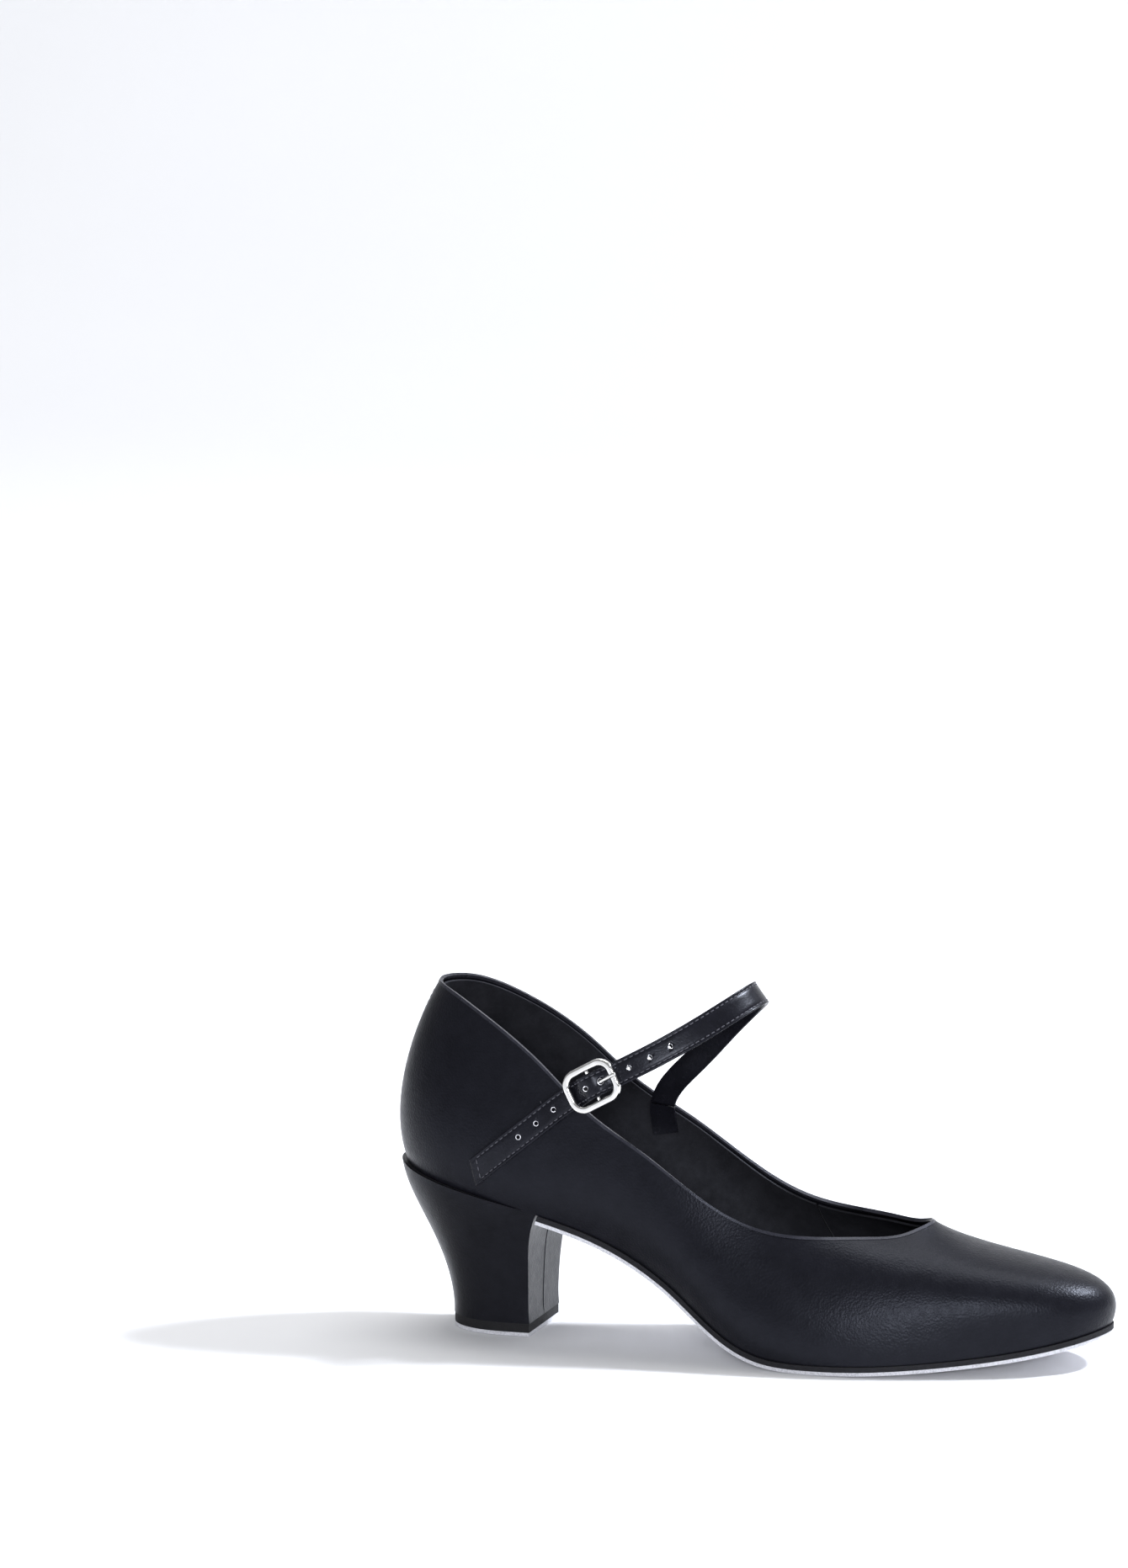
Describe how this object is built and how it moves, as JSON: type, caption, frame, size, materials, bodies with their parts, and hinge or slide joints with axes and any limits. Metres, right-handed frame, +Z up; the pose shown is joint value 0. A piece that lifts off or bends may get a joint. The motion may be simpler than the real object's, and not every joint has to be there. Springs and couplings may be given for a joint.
{
  "type": "dance shoe",
  "caption": "Heeled dance shoe for the right foot: black leather upper, buckled instep strap, leather-wrapped heel, suede sole and heel tip.",
  "frame": {"origin": "middle of the shoe's footprint on the floor: the bottom centre of its bounding box", "axes": "+X towards the toe, +Y towards the medial (inner) side of the foot, +Z up"},
  "size_m": [0.2491, 0.0797, 0.1234],
  "materials": {
    "upper_leather": "satin",
    "edge_leather": "satin",
    "lining": "matt",
    "stiffener": "matt",
    "board": "matt",
    "foam": "matt",
    "sock": "matt",
    "cork": "matt",
    "spring_steel": "satin",
    "sole_edge": "matt",
    "suede": "matt",
    "heel_core": "satin",
    "heel_leather": "satin",
    "tip_rubber": "matt",
    "zinc": "satin",
    "strap_leather": "satin",
    "nickel": "polished",
    "elastic": "matt"
  },
  "bodies": {
    "root": {"upper_outer": "upper_leather", "topline_binding": "edge_leather", "vamp_lining": "lining", "quarter_lining": "lining", "toe_puff": "stiffener", "heel_counter": "stiffener", "lateral_interlining": "stiffener", "medial_interlining": "stiffener", "insole_board": "board", "foam_pad": "foam", "sock_lining": "sock", "bottom_filler": "cork", "shank": "spring_steel", "shank_rivets": "zinc", "outsole_base": "sole_edge", "outsole_suede": "suede", "heel_block": "heel_core", "heel_cover": "heel_leather", "heel_screw": "zinc", "heel_nails": "zinc", "top_piece": "tip_rubber", "top_piece_suede": "suede", "top_piece_pins": "zinc", "strap_stay": "strap_leather", "buckle_tab": "elastic"},
    "strap": {"strap": "strap_leather", "strap_lining": "strap_leather"},
    "buckle": {"buckle_frame": "nickel"},
    "prong": {"buckle_prong": "nickel"}
  },
  "joints": [
    {"name": "strap_swing", "type": "hinge", "parent": "root", "child": "strap", "pos_m": [-0.04036, 0.02648, 0.07436], "axis": [-0.8576, -0.065, 0.5102], "range_deg": [0, 115], "deforming": ["strap", "strap_lining"]},
    {"name": "buckle_tilt", "type": "hinge", "parent": "root", "child": "buckle", "pos_m": [-0.0473, -0.0309, 0.09165], "axis": [0.4797, -0.1006, -0.8717], "range_deg": [-80, 15]},
    {"name": "prong_lift", "type": "hinge", "parent": "buckle", "child": "prong", "pos_m": [-0.0473, -0.0309, 0.09165], "axis": [0.4797, -0.1006, -0.8717], "range_deg": [0, 120]}
  ]
}
